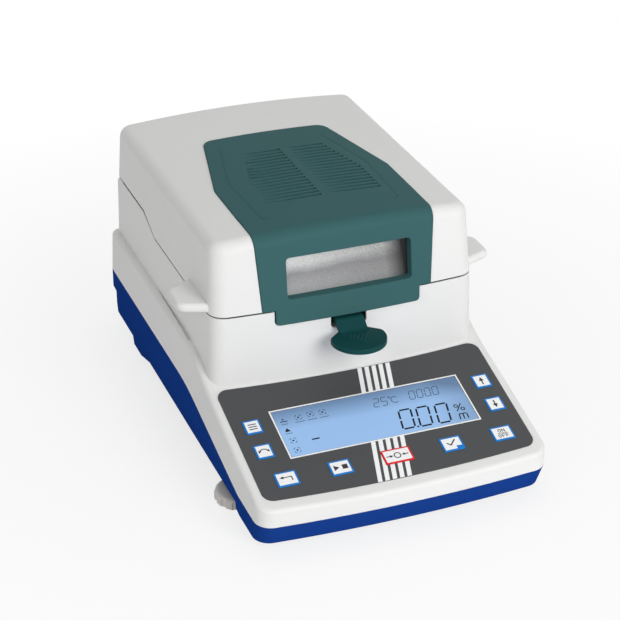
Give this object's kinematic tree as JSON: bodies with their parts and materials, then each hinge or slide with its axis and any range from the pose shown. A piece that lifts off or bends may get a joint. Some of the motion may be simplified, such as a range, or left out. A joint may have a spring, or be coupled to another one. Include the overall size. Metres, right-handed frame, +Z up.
{
  "type": "moisture analyzer",
  "caption": "Bench moisture analyzer: weighing cell under a heated chamber with hinged lid, viewing window, pan lifter and keypad deck with display.",
  "frame": {"origin": "on the surface that it stands on, under the middle of the bounding box", "axes": "+X to the right seen from the front, +Y to the rear, +Z up; the keypad faces -Y and up"},
  "size_m": [0.24, 0.3664, 0.18],
  "materials": {
    "aluminium": "turned",
    "black_plastic": "satin",
    "blue_plastic": "fine moulded grain, satin",
    "brass": "turned",
    "bright_steel": "brushed",
    "ceramic": "unglazed ceramic",
    "circuit_board": "solder resist",
    "clear_window": "polished",
    "dark_steel": "satin sheet",
    "dark_teal_plastic": "fine moulded grain, satin",
    "display": "backlit display",
    "grey_plastic": "satin",
    "key_cap": "satin film",
    "keypad_film": "fine textured film",
    "lamp_glass": "polished",
    "level_glass": "polished",
    "rubber": "matte",
    "teal_plastic": "fine moulded grain, satin",
    "white_plastic": "fine moulded grain, satin",
    "window_glass": "polished"
  },
  "bodies": {
    "root": {"base_tray": "blue_plastic", "chamber_floor": "bright_steel", "control_board": "circuit_board", "display_module": "display", "display_window": "clear_window", "draught_shield": "aluminium", "foot_bushes": "brass", "hinge_pins": "bright_steel", "key_switches": "black_plastic", "keypad_overlay": "keypad_film", "load_cell": "aluminium", "load_cell_mount": "aluminium", "load_cell_screws": "bright_steel", "main_housing": "white_plastic", "power_board": "circuit_board", "power_inlet": "black_plastic", "rear_feet": "rubber", "serial_port": "bright_steel", "spirit_level": "level_glass"},
    "lid": {"lid_shell": "white_plastic", "lid_panel": "teal_plastic", "window_glass": "window_glass", "lid_liner": "dark_steel", "reflector_hood": "bright_steel", "lamp_guard_glass": "clear_window", "halogen_lamp": "lamp_glass", "lamp_holders": "ceramic", "temperature_probe": "bright_steel", "lid_hinge_leaves": "bright_steel"},
    "pan_carrier": {"pan_carrier": "bright_steel"},
    "sample_pan": {"sample_pan": "aluminium"},
    "pan_lifter": {"pan_lifter": "dark_teal_plastic"},
    "left_foot": {"left_foot_pad": "rubber"},
    "right_foot": {"right_foot_pad": "rubber"},
    "left_foot_wheel": {"left_foot_wheel": "grey_plastic", "left_foot_stud": "bright_steel"},
    "right_foot_wheel": {"right_foot_wheel": "grey_plastic", "right_foot_stud": "bright_steel"},
    "fuse_drawer": {"fuse_drawer": "black_plastic"},
    "key_down": {"key_down": "key_cap"},
    "key_enter": {"key_enter": "key_cap"},
    "key_escape": {"key_escape": "key_cap"},
    "key_menu": {"key_menu": "key_cap"},
    "key_on_off": {"key_on_off": "key_cap"},
    "key_start_stop": {"key_start_stop": "key_cap"},
    "key_swap_unit": {"key_swap_unit": "key_cap"},
    "key_tare": {"key_tare": "key_cap"},
    "key_up": {"key_up": "key_cap"}
  },
  "joints": [
    {"name": "lid_hinge", "type": "hinge", "parent": "root", "child": "lid", "pos_m": [0, 0.1768, 0.1322], "axis": [-1, 0, 0], "range_deg": [0, 85]},
    {"name": "pan_weighing", "type": "slide", "parent": "root", "child": "pan_carrier", "axis": [0, 0, -1], "range_m": [0, 0.0003], "stiffness_N_per_m": 12000, "springref_m": -0.0004},
    {"name": "pan_lift", "type": "slide", "parent": "pan_carrier", "child": "sample_pan", "axis": [0, 0, 1], "range_m": [0, 0.012]},
    {"name": "lifter_lift", "type": "slide", "parent": "root", "child": "pan_lifter", "axis": [0, 0, 1], "range_m": [0, 0.0015]},
    {"name": "fuse_drawer_slide", "type": "slide", "parent": "root", "child": "fuse_drawer", "axis": [0, 1, 0], "range_m": [0, 0.02]},
    {"name": "left_foot_travel", "type": "slide", "parent": "root", "child": "left_foot", "axis": [0, 0, -1], "range_m": [-0.0012, 0.004]},
    {"name": "left_foot_turn", "type": "hinge", "parent": "left_foot", "child": "left_foot_wheel", "pos_m": [-0.0965, -0.1053, 0.005], "axis": [0, 0, -1], "range_deg": [-435, 1445]},
    {"name": "right_foot_travel", "type": "slide", "parent": "root", "child": "right_foot", "axis": [0, 0, -1], "range_m": [-0.0012, 0.004]},
    {"name": "right_foot_turn", "type": "hinge", "parent": "right_foot", "child": "right_foot_wheel", "pos_m": [0.0965, -0.1053, 0.005], "axis": [0, 0, -1], "range_deg": [-435, 1445]},
    {"name": "press_down", "type": "slide", "parent": "root", "child": "key_down", "axis": [0, 0.2612, -0.9653], "range_m": [0, 0.0005], "stiffness_N_per_m": 1500, "springref_m": -0.0003},
    {"name": "press_enter", "type": "slide", "parent": "root", "child": "key_enter", "axis": [0, 0.2612, -0.9653], "range_m": [0, 0.0005], "stiffness_N_per_m": 1500, "springref_m": -0.0003},
    {"name": "press_escape", "type": "slide", "parent": "root", "child": "key_escape", "axis": [0, 0.2612, -0.9653], "range_m": [0, 0.0005], "stiffness_N_per_m": 1500, "springref_m": -0.0003},
    {"name": "press_menu", "type": "slide", "parent": "root", "child": "key_menu", "axis": [0, 0.2612, -0.9653], "range_m": [0, 0.0005], "stiffness_N_per_m": 1500, "springref_m": -0.0003},
    {"name": "press_on_off", "type": "slide", "parent": "root", "child": "key_on_off", "axis": [0, 0.2612, -0.9653], "range_m": [0, 0.0005], "stiffness_N_per_m": 1500, "springref_m": -0.0003},
    {"name": "press_start_stop", "type": "slide", "parent": "root", "child": "key_start_stop", "axis": [0, 0.2612, -0.9653], "range_m": [0, 0.0005], "stiffness_N_per_m": 1500, "springref_m": -0.0003},
    {"name": "press_swap_unit", "type": "slide", "parent": "root", "child": "key_swap_unit", "axis": [0, 0.2612, -0.9653], "range_m": [0, 0.0005], "stiffness_N_per_m": 1500, "springref_m": -0.0003},
    {"name": "press_tare", "type": "slide", "parent": "root", "child": "key_tare", "axis": [0, 0.2612, -0.9653], "range_m": [0, 0.0005], "stiffness_N_per_m": 1500, "springref_m": -0.0003},
    {"name": "press_up", "type": "slide", "parent": "root", "child": "key_up", "axis": [0, 0.2612, -0.9653], "range_m": [0, 0.0005], "stiffness_N_per_m": 1500, "springref_m": -0.0003}
  ],
  "couplings": [
    {"joint": "left_foot_turn", "follows": "left_foot_travel", "rad_per_m": 6283.2},
    {"joint": "right_foot_turn", "follows": "right_foot_travel", "rad_per_m": 6283.2}
  ]
}
